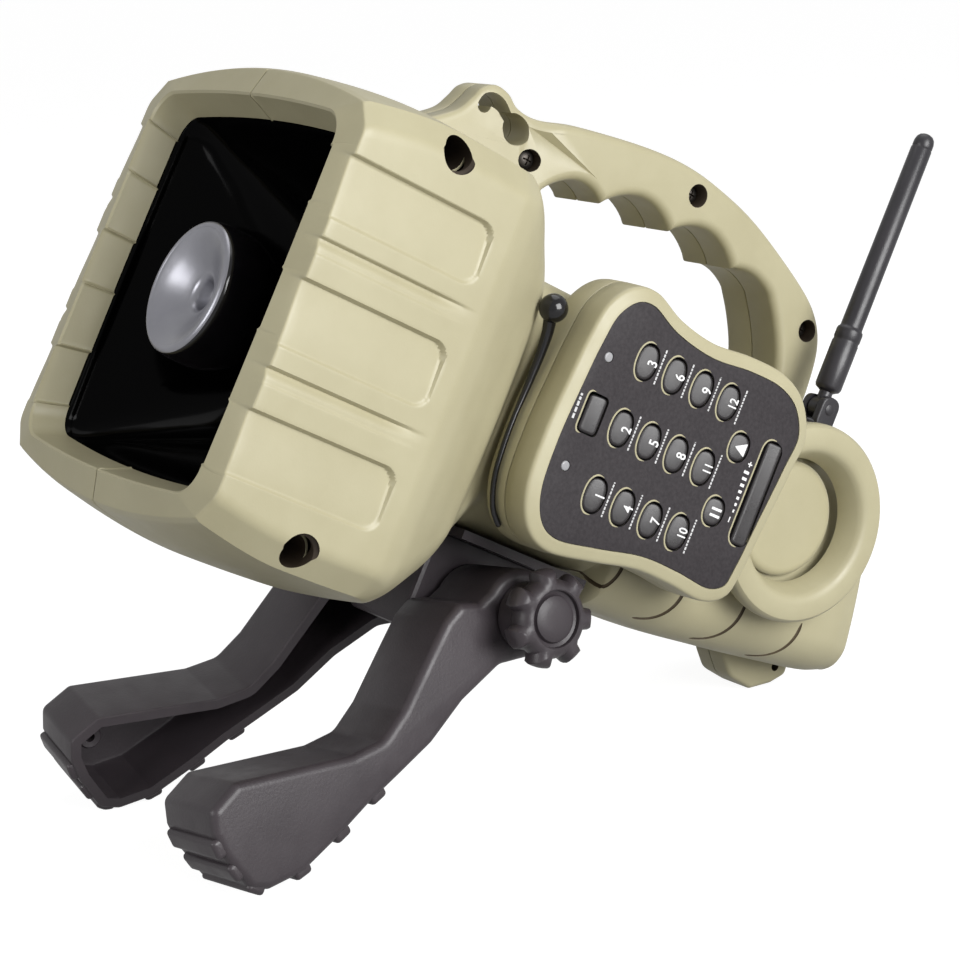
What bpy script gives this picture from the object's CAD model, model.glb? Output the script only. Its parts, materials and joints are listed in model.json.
"""Electronic game caller: the visual model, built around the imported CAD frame.

Shapes are written in millimetres in the body frame: origin in the middle of the horn's mouth, X to the
side that carries the remote, Y from the mouth to the rear end, Z up to the handle. BODY turns them into
the row frame.
"""

import json
import math

import bmesh
import bpy
import numpy as np
from mathutils import Matrix, Vector


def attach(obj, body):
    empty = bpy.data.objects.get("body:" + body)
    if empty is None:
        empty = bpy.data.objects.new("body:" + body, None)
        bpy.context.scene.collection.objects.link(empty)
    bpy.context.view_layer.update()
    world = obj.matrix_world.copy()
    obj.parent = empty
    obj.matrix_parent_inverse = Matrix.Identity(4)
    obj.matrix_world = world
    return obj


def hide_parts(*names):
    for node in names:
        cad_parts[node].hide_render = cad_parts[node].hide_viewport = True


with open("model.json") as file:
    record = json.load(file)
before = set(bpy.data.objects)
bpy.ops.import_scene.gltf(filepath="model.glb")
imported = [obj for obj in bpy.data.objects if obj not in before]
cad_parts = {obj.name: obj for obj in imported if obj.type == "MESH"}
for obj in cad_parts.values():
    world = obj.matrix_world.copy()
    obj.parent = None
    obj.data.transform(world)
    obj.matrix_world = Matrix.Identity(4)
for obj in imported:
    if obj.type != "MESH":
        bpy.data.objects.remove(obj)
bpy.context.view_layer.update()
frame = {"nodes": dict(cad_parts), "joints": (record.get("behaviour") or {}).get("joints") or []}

MM = 0.001
PITCH = math.atan2(108.1, 190.0)
TILT = Matrix.Rotation(-PITCH, 4, "X")
ANTENNA = (30.0, 210.0, 46.0)
TILT_POS = next(j["pos_m"] for j in frame["joints"] if j["name"] == "antenna_tilt")
BODY = Matrix.Translation(Vector(TILT_POS) - TILT @ (Vector(ANTENNA) * MM)) @ TILT @ Matrix.Scale(MM, 4)


# ---------------------------------------------------------------- curves and outlines

def smooth(a, b, x):
    """0 below a, 1 above b, and a soft step between them."""
    t = np.clip((x - a) / (b - a), 0.0, 1.0)
    return t * t * (3 - 2 * t)


def pchip(xs, ys, x):
    """Monotone cubic interpolation through (xs, ys)."""
    xs, ys = np.asarray(xs, float), np.asarray(ys, float)
    h, d = np.diff(xs), np.diff(ys) / np.diff(xs)
    m = np.zeros(len(xs))
    for i in range(1, len(xs) - 1):
        if d[i - 1] * d[i] > 0:
            a, b = 2 * h[i] + h[i - 1], h[i] + 2 * h[i - 1]
            m[i] = (a + b) / (a / d[i - 1] + b / d[i])
    m[0], m[-1] = d[0], d[-1]
    i = int(np.clip(np.searchsorted(xs, x) - 1, 0, len(xs) - 2))
    t = (x - xs[i]) / h[i]
    return ((2 * t ** 3 - 3 * t ** 2 + 1) * ys[i] + (t ** 3 - 2 * t ** 2 + t) * h[i] * m[i]
            + (3 * t ** 2 - 2 * t ** 3) * ys[i + 1] + (t ** 3 - t ** 2) * h[i] * m[i + 1])


def catmull(points, steps, closed=True):
    """A smooth curve through points, with a number of steps from each to the next."""
    pts = [np.array(p, float) for p in points]
    count, out = len(pts), []
    for i in range(count if closed else count - 1):
        if closed:
            a, b, c, d = (pts[(i + k) % count] for k in (-1, 0, 1, 2))
        else:
            a, b, c, d = (pts[min(max(i + k, 0), count - 1)] for k in (-1, 0, 1, 2))
        for s in range(steps):
            t = s / steps
            out.append(0.5 * (2 * b + (c - a) * t + (2 * a - 5 * b + 4 * c - d) * t ** 2
                              + (3 * b - a - 3 * c + d) * t ** 3))
    if not closed:
        out.append(pts[-1])
    return [tuple(p) for p in out]


def arc(centre, radius, start, end, steps):
    angles = [math.radians(start + (end - start) * i / steps) for i in range(steps + 1)]
    return [(centre[0] + radius * math.cos(a), centre[1] + radius * math.sin(a)) for a in angles]


def rounded(points, radius, steps=5):
    """A closed polygon with its corners rounded; a point may carry its own radius as a third number."""
    out, count = [], len(points)
    for i, p in enumerate(points):
        here = np.array(p[:2], float)
        r = p[2] if len(p) > 2 else radius
        a = np.array(points[i - 1][:2], float) - here
        b = np.array(points[(i + 1) % count][:2], float) - here
        la, lb = np.linalg.norm(a), np.linalg.norm(b)
        a, b = a / la, b / lb
        half = math.acos(float(np.clip(a @ b, -1, 1))) / 2
        if r <= 0 or half > math.radians(89):
            out.append(tuple(here))
            continue
        back = min(r / math.tan(half), 0.49 * la, 0.49 * lb)
        start, end = here + a * back, here + b * back
        for s in range(steps + 1):
            t = s / steps
            out.append(tuple((1 - t) ** 2 * start + 2 * t * (1 - t) * here + t * t * end))
    return out


def inset(outline, distance):
    """The outline moved inwards; points that would pass each other are drawn together instead."""
    pts = np.array([p[:2] for p in outline], float)
    apart = np.linalg.norm(pts - np.roll(pts, 1, 0), axis=1) > 1e-4
    owner = (np.cumsum(apart) - 1) % apart.sum()
    pts = pts[apart]
    nxt = np.roll(pts, -1, 0)
    turn = 1.0 if np.sum(pts[:, 0] * nxt[:, 1] - nxt[:, 0] * pts[:, 1]) > 0 else -1.0
    count = max(1, int(math.ceil(abs(distance) / 0.25)))
    for _ in range(count):
        edge = np.roll(pts, -1, 0) - pts
        unit = edge / np.linalg.norm(edge, axis=1)[:, None]
        along = unit + np.roll(unit, 1, 0)
        along /= np.linalg.norm(along, axis=1)[:, None]
        mitre = 1 / np.maximum(0.62, np.sum(along * unit, 1))
        moved = pts + np.stack([-along[:, 1], along[:, 0]], 1) * (turn * distance / count * mitre)[:, None]
        after = np.roll(moved, -1, 0) - moved
        crossed = np.sum(after * unit, 1) < 0.02
        if crossed.any():
            label = np.cumsum(~np.roll(crossed, 1)) - 1
            label %= label.max() + 1
            moved = np.array([moved[label == k].mean(0) for k in range(label.max() + 1)])
            owner = label[owner]
        pts = moved
    return [tuple(pts[k]) for k in owner]


def angles(steps):
    """Even steps once round a circle."""
    return [2 * math.pi * i / steps for i in range(steps)]


def oval(centre, size, steps=44, power=0.85):
    """A closed oval, a little squarer than an ellipse."""
    return [(centre[0] + size[0] / 2 * math.copysign(abs(math.cos(a)) ** power, math.cos(a)),
             centre[1] + size[1] / 2 * math.copysign(abs(math.sin(a)) ** power, math.sin(a)))
            for a in angles(steps)]


def box_outline(centre, size, radius, steps=6):
    hu, hv = size[0] / 2, size[1] / 2
    u, v = centre
    return rounded([(u - hu, v - hv), (u + hu, v - hv), (u + hu, v + hv), (u - hu, v + hv)], radius, steps)


def fillet(face, radius, steps=6):
    """(x, inset) layers of a rounded edge that ends at the face."""
    return [(face - radius * (1 - math.sin(a)), radius * (1 - math.cos(a)))
            for a in (math.pi / 2 * s / steps for s in range(steps + 1))]


# ---------------------------------------------------------------- meshes

def add(name, verts, faces, paint, angle=32.0, place=BODY):
    """A mesh from points in a frame's millimetres, placed in the row frame."""
    pts = np.array(verts, float).reshape(-1, 3)
    m = np.array(place, float)
    pts = pts @ m[:3, :3].T + m[:3, 3]
    mesh = bpy.data.meshes.new(name)
    mesh.from_pydata(pts.tolist(), [], faces)
    work = bmesh.new()
    work.from_mesh(mesh)
    bmesh.ops.remove_doubles(work, verts=work.verts, dist=1e-6)
    bmesh.ops.recalc_face_normals(work, faces=work.faces)
    work.to_mesh(mesh)
    work.free()
    thing = bpy.data.objects.new(name, mesh)
    bpy.context.scene.collection.objects.link(thing)
    mesh.materials.append(paint)
    return shade(thing, angle)


def shade(thing, angle):
    """Smooth shading, but sharp at edges that turn by more than the angle."""
    thing.data.shade_smooth()
    thing.data.set_sharp_from_angle(angle=math.radians(angle))
    return thing


def ring_faces(rows, count, first=0, closed=True):
    """The quads between rows of points, which are numbered from first."""
    out = []
    for r in range(rows - 1):
        for i in range(count if closed else count - 1):
            j = (i + 1) % count
            a, b = first + r * count, first + (r + 1) * count
            out.append((a + i, a + j, b + j, b + i))
    return out


def loft(name, rings, paint, angle=32.0, place=BODY, around=False):
    """A solid through rings of points, with two end caps or with its last ring joined to its first."""
    count = len(rings[0])
    verts = [p for ring in rings for p in ring]
    faces = ring_faces(len(rings), count)
    if around:
        last = (len(rings) - 1) * count
        faces += [(last + i, last + (i + 1) % count, (i + 1) % count, i) for i in range(count)]
    else:
        faces += [tuple(range(count)), tuple((len(rings) - 1) * count + i for i in range(count))]
    return add(name, verts, faces, paint, angle, place)


def slab(name, outline, layers, paint, side=1, angle=32.0, place=BODY):
    """A solid stacked along X from (x, inset) layers of a (y, z) outline."""
    rings = []
    for x, shrink in layers:
        ring = inset(outline, shrink) if shrink else outline
        rings.append([(side * x, y, z) for y, z in ring])
    return loft(name, rings, paint, angle, place)


AXES = {"X": ((0, 0, 1), (0, 1, 0), (1, 0, 0)), "-X": ((0, 0, 1), (0, 1, 0), (-1, 0, 0)),
        "Y": ((1, 0, 0), (0, 0, 1), (0, 1, 0)), "Z": ((1, 0, 0), (0, 1, 0), (0, 0, 1))}


def turned(name, profile, paint, at, axis="Z", steps=48, angle=32.0, place=BODY, ring=False):
    """A turned piece from (radius, height) points; a ring profile is closed on itself."""
    u, v, w = (np.array(a, float) for a in AXES[axis])
    rings = [[tuple(np.array(at) + w * h + r * (u * math.cos(t) + v * math.sin(t))) for t in angles(steps)]
             for r, h in profile]
    return loft(name, rings, paint, angle, place, around=ring)


def tube(name, route, radii, paint, steps=16, hint=(1, 0, 0)):
    """A round tube along a route, with one radius for each point of it."""
    pts = [np.array(p, float) for p in route]
    rings = []
    for i, here in enumerate(pts):
        along = pts[min(i + 1, len(pts) - 1)] - pts[max(i - 1, 0)]
        along /= np.linalg.norm(along)
        side = np.array(hint, float) - along * (along @ np.array(hint, float))
        side /= np.linalg.norm(side)
        up = np.cross(along, side)
        rings.append([tuple(here + radii[i] * (side * math.cos(t) + up * math.sin(t)))
                      for t in angles(steps)])
    return loft(name, rings, paint, 40)


def plug(name, radius, low, high, paint, at, axis, steps, place=BODY):
    """A plain cylinder between two heights on its axis."""
    profile = [(0, high), (radius, high), (radius, low), (0, low)]
    return turned(name, profile, paint, at, axis, steps, place=place)


def bake(thing):
    """Applies a piece's modifiers and leaves a plain mesh."""
    graph = bpy.context.evaluated_depsgraph_get()
    graph.update()
    mesh = bpy.data.meshes.new_from_object(thing.evaluated_get(graph))
    old = thing.data
    thing.modifiers.clear()
    thing.data = mesh
    bpy.data.meshes.remove(old)


def carve(thing, tools, operation="DIFFERENCE", angle=32.0):
    """Cuts the tools from a piece, or joins them to it, and removes them."""
    for tool in tools:
        change = thing.modifiers.new("carve", "BOOLEAN")
        change.operation = operation
        change.solver = "EXACT"
        change.material_mode = "TRANSFER"
        change.object = tool
    bake(thing)
    for tool in tools:
        bpy.data.objects.remove(tool, do_unlink=True)
    return shade(thing, angle)


def merge(name, things):
    """Joins separate closed meshes into one object."""
    work = bmesh.new()
    paints = []
    for thing in things:
        offset, start = len(paints), len(work.faces)
        paints += list(thing.data.materials)
        work.from_mesh(thing.data)
        work.faces.ensure_lookup_table()
        for face in work.faces[start:]:
            face.material_index += offset
    mesh = bpy.data.meshes.new(name)
    work.to_mesh(mesh)
    work.free()
    for thing in things:
        bpy.data.objects.remove(thing, do_unlink=True)
    merged = bpy.data.objects.new(name, mesh)
    bpy.context.scene.collection.objects.link(merged)
    for paint in paints:
        mesh.materials.append(paint)
    return merged


def done(thing, body, slot, *nodes):
    """Puts a finished piece on its body, in the place of its CAD nodes."""
    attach(thing, body)
    if nodes:
        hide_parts(*nodes)


# ---------------------------------------------------------------- materials

def shader_tools(name):
    """A new material, its node tree and its shader."""
    paint = bpy.data.materials.new(name)
    paint.use_nodes = True
    tree = paint.node_tree
    return paint, tree, tree.nodes["Principled BSDF"]


def dial(node, values):
    """Sets a node's inputs by their names."""
    for socket, value in values.items():
        node.inputs[socket].default_value = value


def noise(tree, scale, detail=3.0, rough=0.5):
    """A noise in the row frame, in cycles per metre."""
    node = tree.nodes.new("ShaderNodeTexNoise")
    dial(node, {"Scale": scale, "Detail": detail, "Roughness": rough})
    where = tree.nodes.get("Texture Coordinate") or tree.nodes.new("ShaderNodeTexCoord")
    tree.links.new(where.outputs["Object"], node.inputs["Vector"])
    return node


NOISE_RANGE = (0.3, 0.7)


def ramp(tree, source, low, high):
    """A colour that follows a noise from low to high."""
    node = tree.nodes.new("ShaderNodeValToRGB")
    for element, position, colour in zip(node.color_ramp.elements, NOISE_RANGE, (low, high)):
        element.position = position
        element.color = (*colour, 1)
    tree.links.new(source, node.inputs["Fac"])
    return node.outputs["Color"]


def spread(tree, source, low, high):
    """A value that follows a noise from low to high."""
    node = tree.nodes.new("ShaderNodeMapRange")
    dial(node, {"From Min": NOISE_RANGE[0], "From Max": NOISE_RANGE[1], "To Min": low, "To Max": high})
    tree.links.new(source, node.inputs["Value"])
    return node.outputs["Result"]


def moulded(name, dark, light, rough, grain=1500.0, depth=0.00006, strength=0.35, metallic=0.0, specular=0.5,
            patches=38.0):
    """Moulded plastic: faint colour drift, uneven gloss and a fine spark-eroded grain."""
    paint, tree, shader = shader_tools(name)
    drift = noise(tree, patches, 4.0, 0.6)
    tree.links.new(ramp(tree, drift.outputs["Fac"], dark, light), shader.inputs["Base Color"])
    gloss = noise(tree, 120.0)
    tree.links.new(spread(tree, gloss.outputs["Fac"], *rough), shader.inputs["Roughness"])
    dial(shader, {"Metallic": metallic, "Specular IOR Level": specular})
    relief_node = tree.nodes.new("ShaderNodeBump")
    dial(relief_node, {"Strength": strength, "Distance": depth})
    tree.links.new(noise(tree, grain, 2.0).outputs["Fac"], relief_node.inputs["Height"])
    tree.links.new(relief_node.outputs["Normal"], shader.inputs["Normal"])
    return paint


KHAKI = moulded("khaki_plastic", (0.385, 0.352, 0.222), (0.42, 0.388, 0.25), (0.38, 0.48))
KHAKI_DEEP = moulded("khaki_shadow_line", (0.050, 0.034, 0.016), (0.080, 0.056, 0.028), (0.6, 0.75))
HOLE_BROWN = moulded("screw_hole_brown", (0.018, 0.011, 0.005), (0.034, 0.021, 0.010), (0.6, 0.8))
DARK = moulded("black_brown_plastic", (0.033, 0.027, 0.031), (0.047, 0.039, 0.044), (0.34, 0.46), 1200.0,
               0.00009, 0.5, specular=0.4)
HORN_BLACK = moulded("black_horn_plastic", (0.0003, 0.0003, 0.0004), (0.0006, 0.0006, 0.0007), (0.08, 0.13),
                     200.0, 0.00002, 0.05, specular=0.05)
DISH = moulded("reflector_satin", (0.26, 0.26, 0.29), (0.34, 0.34, 0.37), (0.28, 0.38), 300.0, 0.00003, 0.08,
               metallic=0.8, specular=0.6)
GLOSS_BLACK = moulded("gloss_black_rubber", (0.003, 0.003, 0.004), (0.006, 0.005, 0.006), (0.10, 0.2), 400.0,
                      0.00003, 0.1)
LABEL = moulded("charcoal_label", (0.019, 0.016, 0.018), (0.036, 0.031, 0.034), (0.5, 0.68), 2600.0, 0.00005,
                0.6, specular=0.3, patches=900.0)
KEY = moulded("key_rubber", (0.016, 0.014, 0.015), (0.030, 0.027, 0.028), (0.24, 0.36), 1400.0, 0.00004, 0.3,
              specular=0.35)
PRINT = moulded("print_grey", (0.50, 0.50, 0.50), (0.62, 0.62, 0.62), (0.45, 0.6))
WHITE = moulded("print_white", (0.74, 0.74, 0.74), (0.86, 0.86, 0.86), (0.45, 0.6))
LED = moulded("led_lens", (0.27, 0.27, 0.28), (0.34, 0.34, 0.35), (0.3, 0.4), 600.0, 0.00003, 0.1)
WHIP = moulded("antenna_black", (0.014, 0.013, 0.016), (0.026, 0.024, 0.028), (0.30, 0.42), 1800.0, 0.00006,
               0.5)
STEEL = moulded("zinc_plated_steel", (0.42, 0.42, 0.43), (0.60, 0.60, 0.61), (0.25, 0.42), 900.0, 0.00004,
                0.3, metallic=1.0)
SCREW = moulded("blackened_screw_steel", (0.05, 0.045, 0.04), (0.10, 0.09, 0.08), (0.35, 0.5), 900.0, 0.00004,
                0.3, metallic=1.0)
BOARD = moulded("circuit_board_green", (0.010, 0.11, 0.045), (0.02, 0.17, 0.07), (0.3, 0.5), 500.0, 0.0001,
                0.5)
HOLDER = moulded("black_holder_plastic", (0.015, 0.015, 0.016), (0.026, 0.026, 0.028), (0.4, 0.6))
FERRITE = moulded("ferrite_magnet", (0.04, 0.04, 0.045), (0.075, 0.075, 0.08), (0.5, 0.75), 700.0, 0.0002,
                  0.6)
RUBBER = moulded("black_rubber", (0.015, 0.015, 0.015), (0.025, 0.025, 0.025), (0.7, 0.85))
WIRE = moulded("red_wire", (0.28, 0.012, 0.012), (0.40, 0.025, 0.022), (0.35, 0.5))


def sleeve_paint():
    """The smooth dark wrap of a cell."""
    paint, tree, shader = shader_tools("battery_sleeve")
    wrap = noise(tree, 260.0)
    tree.links.new(ramp(tree, wrap.outputs["Fac"], (0.045, 0.05, 0.06), (0.085, 0.095, 0.11)),
                   shader.inputs["Base Color"])
    tree.links.new(spread(tree, noise(tree, 900.0).outputs["Fac"], 0.25, 0.4), shader.inputs["Roughness"])
    return paint


SLEEVE = sleeve_paint()


SIDES = {1: ("right", "X"), -1: ("left", "-X")}
SEAM = 0.18


# ---------------------------------------------------------------- housing

SECTIONS = np.array([  # y, half width, top, bottom, corner radius, lean
    (0.0, 63.7, 65.0, -65.0, 10.0, 0.0), (3.0, 63.9, 66.0, -66.0, 11.0, 0.0),
    (30.0, 64.2, 70.0, -70.0, 13.0, 0.0), (54.0, 64.0, 69.5, -69.5, 14.0, 0.0),
    (60.0, 62.2, 68.6, -68.6, 15.0, 0.0), (68.0, 57.5, 64.8, -65.0, 16.0, 0.0),
    (76.0, 52.0, 58.5, -60.0, 17.0, 0.0), (84.0, 46.3, 50.8, -52.5, 16.0, 0.0),
    (88.0, 41.2, 47.6, -47.6, 15.0, 0.0), (90.5, 38.2, 45.9, -45.0, 14.5, 0.0),
    (98.0, 37.0, 44.0, -33.0, 14.0, 0.0), (148.0, 37.0, 44.0, -33.0, 14.0, 0.0),
    (153.0, 37.0, 43.6, -42.0, 14.0, 0.0), (178.0, 37.0, 41.5, -41.8, 14.0, 0.0),
    (202.0, 37.0, 38.8, -39.6, 14.0, 0.02), (229.0, 36.6, 35.2, -35.9, 13.0, 0.12),
    (243.0, 35.4, 31.5, -33.4, 12.0, 0.21), (249.0, 33.6, 28.5, -31.2, 10.0, 0.25),
])
CROWN, HOOD_BOW = 0.05, 0.014
HOOD_SCREW = (30.0, 57.0)
PANELS = ((35.0, 9.0), (0.0, 9.5), (-36.0, 9.2))
GROOVES = ((18.5, 2.5), (-17.5, 2.5))
SIDE_END, SIDE_STRAIGHT = 51.5, 45.9
WALL = 2.5
REAR = 249.0


def side_marks():
    """Heights of the points down a hood side: closer at the edges of its panels, grooves and joints."""
    edges = (46.5, 43.9, 29.5, 26.2, 20.9, 16.3, 10.5, 9.2, -7.0, -9.3, -15.2, -19.8, -27.1, -45.2, -46.1)
    fine = [e + d for e in edges for d in (-0.9, -0.5, -0.2, 0.1, 0.4, 0.8)]
    coarse = [z for z in np.linspace(-SIDE_END, SIDE_END, 151) if min(abs(z - f) for f in fine) > 0.25]
    return np.array(sorted(fine + coarse, reverse=True))


OUTER = (22, side_marks())
INNER = (3, np.linspace(SIDE_END, -SIDE_END, 7))


def section(y):
    """The half width, top, bottom, corner radius and lean of the housing at a station."""
    return [pchip(SECTIONS[:, 0], SECTIONS[:, k], y) for k in range(1, 6)]


def half_ring(shape, counts, facet, hood):
    """Half of a cross-section, from the top seam over the side to the bottom seam, as x, z and height mark.

    A facet of 1 has the hood's flat chamfers, and 0 has round corners. Marks follow the height where hood
    is 1.
    """
    hw, top, bottom, radius = shape
    flat, marks = counts
    mid, hh = (top + bottom) / 2, (top - bottom) / 2
    u = np.array([0.0, 0.0035, 0.008, 0.016] + list(np.linspace(0.03, 1.0, flat)))
    bow = CROWN - (CROWN - HOOD_BOW) * hood
    turn = np.linspace(0, math.pi / 2, 15)[1:]
    rx = np.concatenate([SEAM + (hw - radius - SEAM) * u, hw - radius + radius * np.sin(turn)])
    rv = np.concatenate([np.full(len(u), hh), hh - radius + radius * np.cos(turn)])
    rx, rv = rx * (1 - bow * (rv / hh) ** 2), rv * (1 - CROWN * (rx / hw) ** 2)
    edge, shoulder = np.array((hw - 6.8, 0.90 * hh)), np.array((hw * (1 - 0.62 * bow), 0.79 * hh))
    stop = np.array((hw * (1 - bow * (0.79 - 2.5 / hh) ** 2), 0.79 * hh - 2.5))
    fx = SEAM + (edge[0] - SEAM) * u
    fv = hh - 0.10 * hh * (fx / edge[0]) ** 2
    chamfer = [edge + (shoulder - edge) * s for s in (0.03, 0.08, 0.18, 0.32, 0.46, 0.6, 0.74)]
    start = edge + (shoulder - edge) * 0.8
    chamfer += [(1 - t) ** 2 * start + 2 * t * (1 - t) * shoulder + t * t * stop
                for t in np.linspace(0, 1, 7)]
    x = (1 - facet) * rx + facet * np.concatenate([fx, [p[0] for p in chamfer]])
    v = (1 - facet) * rv + facet * np.concatenate([fv, [p[1] for p in chamfer]])
    v = v - 0.4 * np.maximum(0, 1 - (x - SEAM) / 0.6) ** 2
    end = v[-1]
    inner = min(SIDE_STRAIGHT, end - 1.0)
    share = (abs(marks) - SIDE_STRAIGHT) / (SIDE_END - SIDE_STRAIGHT)
    kept = np.where(abs(marks) <= SIDE_STRAIGHT, marks * inner / SIDE_STRAIGHT,
                    np.sign(marks) * (inner + share * (end - inner)))
    side = hood * kept + (1 - hood) * marks / SIDE_END * end
    side_x = hw * (1 - bow * (side / hh / (0.95 + 0.05 * facet)) ** 2)
    side_x = side_x + (x[-1] - side_x[0]) * np.abs(marks / SIDE_END) ** 8
    far = np.full(len(x), 99.0)
    return (np.concatenate([x, side_x[1:-1], x[::-1]]), mid + np.concatenate([v, side[1:-1], -v[::-1]]),
            np.concatenate([far, marks[1:-1], -far]))


def boxed(y, z, rear, centre, half, radius):
    """Signed distance into a box that is open to the front and has rounded rear corners."""
    q = np.stack([y - (rear - radius), np.abs(z - centre) - (half - radius)], -1)
    outside = np.linalg.norm(np.maximum(q, 0), axis=-1)
    return radius - outside - np.minimum(np.maximum(q[..., 0], q[..., 1]), 0)


def relief(y, z):
    """How far the hood's side is sunk, in millimetres, by its panels and grooves."""
    y, depth = np.full_like(z, y), np.zeros_like(z)
    for centre, half in PANELS:
        floor = 0.6 + 1.25 * smooth(centre - half, centre + half, z)
        depth = np.maximum(depth, floor * smooth(-0.2, 0.8, boxed(y, z, 49.0, centre, half, 5.0)))
    for centre, half in GROOVES:
        floor = 0.35 + 1.35 * smooth(centre - half * 0.4, centre + half, z)
        depth = np.maximum(depth, floor * smooth(-0.2, 0.8, boxed(y, z, 55.0, centre, half, 1.0))
                           * (1 - smooth(38.0, 54.0, y)))
    return depth


def steps_inside(z):
    """The small ledges and joint lines along the mouth's inner side walls."""
    joints = (46.5, 29.5, 10.5, -7.0, -27.3, -46.0)
    ledge = sum((1.0 if i % 2 else -1.0) * smooth(j - 0.3, j + 0.3, z) for i, j in enumerate(joints))
    line = sum(0.8 * np.exp(-((z - j) / 0.4) ** 2) for j in joints)
    return ledge - line


LIP = (-2.2, 54.3, 56.7, 8.2)
MOUTH = ((7.4, 51.2, 52.6, 7.0, 7.4), (4.0, 52.2, 54.0, 7.4, 4.6), (0.6, 53.1, 55.3, 7.8, 2.6),
         (-1.6, 53.6, 56.0, 8.0, 1.4), (*LIP, 1.0))


def housing_half(side):
    """One moulding as a closed shell: the mouth's lip, the rim round it, the hood, the neck and the rear."""
    outer, inner = [], []

    def station(y, shape, in_y, cut, facet, lean=0.0, ledge=0.0, sink=1.0):
        hw, top, bottom, radius = shape
        hood = 1 - smooth(60.0, 90.0, y)
        x, z, mark = half_ring(shape, OUTER, facet, hood)
        x = x - sink * relief(max(y, 0.0), mark) + ledge * steps_inside(mark)
        outer.append([(side * a, y - lean * b, b) for a, b in zip(x, z)])
        small = (hw - cut[0], top - cut[1], bottom + cut[1], max(radius - WALL, 4.0))
        x, z, mark = half_ring(small, INNER, facet, hood)
        inner.append([(side * a, in_y - lean * b, b) for a, b in zip(x, z)])

    for y, hw, h, r, in_y in MOUTH:
        station(y, (hw, h, -h, r), in_y, (-2.6, -2.6), 0.0, ledge=1.0 if y > -2.0 else 0.7, sink=0.0)
    front, lip_width, lip_height, lip_radius = LIP
    for t in (0.25, 0.5, 0.75, 0.93, 1.0):
        shape = (lip_width + 9.0 * t, lip_height + 7.8 * t, -lip_height - 7.8 * t, lip_radius + 2.0 * t)
        station(front * (1 - t), shape, 1.0 + 2.3 * t, (-2.6 + 5.0 * t, -2.6 + 5.2 * t), t,
                ledge=0.5 * (1 - t), sink=t * t)
    for y, hw, h in ((0.1, 63.45, 64.7), (0.35, 63.6, 64.9), (0.7, 63.7, 65.0)):
        station(y, (hw, h, -h, 10.2), 3.4 + 0.3 * y, (WALL, 2.6), 1.0)
    ys = list(np.arange(1.4, 38, 1.2)) + list(np.arange(38, 56, 0.55)) + list(np.arange(56, 99, 1.2))
    ys += list(np.arange(99, 146, 4.0)) + list(np.arange(146, 157, 1.0)) + list(np.arange(157, 228, 3.0))
    ys += list(np.arange(228, REAR, 1.8))
    for y in ys:
        *shape, lean = section(y)
        in_y = max(y - (1.2 if 56 < y < 92 else 0), 3.8)
        station(y, shape, in_y, (WALL, WALL), 1 - smooth(54.0, 70.0, y), lean)
    hw, top, bottom, r, lean = section(REAR)
    for k, (back, dy) in enumerate(fillet(0, 3.5, 6)):
        shape = (hw - dy, top - dy, bottom + dy, r - dy * 0.5)
        station(REAR + 3.5 + back, shape, REAR - 1.4 + 0.1 * k, (WALL, WALL), 0.0, lean)
    n, m, rows = len(outer[0]), len(inner[0]), len(outer)
    verts = [p for ring in outer for p in ring] + [p for ring in inner for p in ring]
    base = rows * n
    faces = ring_faces(rows, n, 0, False) + ring_faces(rows, m, base, False)
    for r in range(rows - 1):
        a, b, c, d = r * n, (r + 1) * n, base + r * m, base + (r + 1) * m
        faces += [(a, b, d, c), (a + n - 1, b + n - 1, d + m - 1, c + m - 1)]
    faces.append(tuple(range(n)) + tuple(base + i for i in reversed(range(m))))
    last, inner_last = (rows - 1) * n, base + (rows - 1) * m
    faces.append(tuple(last + i for i in range(n)))
    faces.append(tuple(inner_last + i for i in range(m)))
    faces.append((last, last + n - 1, inner_last + m - 1, inner_last))
    return add(f"housing_{SIDES[side][0]}_shell", verts, faces, KHAKI, 30)


HEEL = np.array((250.0, -42.5))
RUN = np.array((math.cos(PITCH), math.sin(PITCH)))
LUG = [(228.0, -26.0), (229.6, -37.4, 6), (236.5, -43.4, 6), tuple(HEEL - 4.0 * RUN) + (1.5,),
       tuple(HEEL + 5.0 * RUN) + (1.5,), (259.0, -35.5, 3), (257.0, -24.0, 2), (246.0, -20.0)]
J_STARTS = (154.5, 180.5, 205.5, 231.0)
J_SHAPE = ((0.0, 28.0), (-0.2, 34.0), (-0.9, 39.5), (-2.4, 44.5), (-4.6, 48.5), (-7.2, 51.0), (-10.0, 52.5))


def strike(thing, start, aim):
    """Where a ray meets a piece, with all three in the body frame."""
    place = BODY.inverted() @ thing.matrix_world
    back = place.inverted()
    hit, where, _, _ = thing.ray_cast(back @ start, (back.to_3x3() @ aim).normalized())
    return place @ where if hit else None


def on_surface(thing, side, y, angle, height):
    """The point above the housing's outside at a station and an angle below level."""
    aim = Vector((-side * math.cos(math.radians(angle)), 0.0, math.sin(math.radians(angle))))
    return tuple(strike(thing, Vector((0, y, 0)) - aim * 90.0, aim) - aim * height)


def surface_x(thing, side, y, z):
    """Where the housing's outer side is at a body-frame (y, z)."""
    return strike(thing, Vector((side * 90.0, y, z)), Vector((-side, 0.0, 0.0))).x


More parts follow.
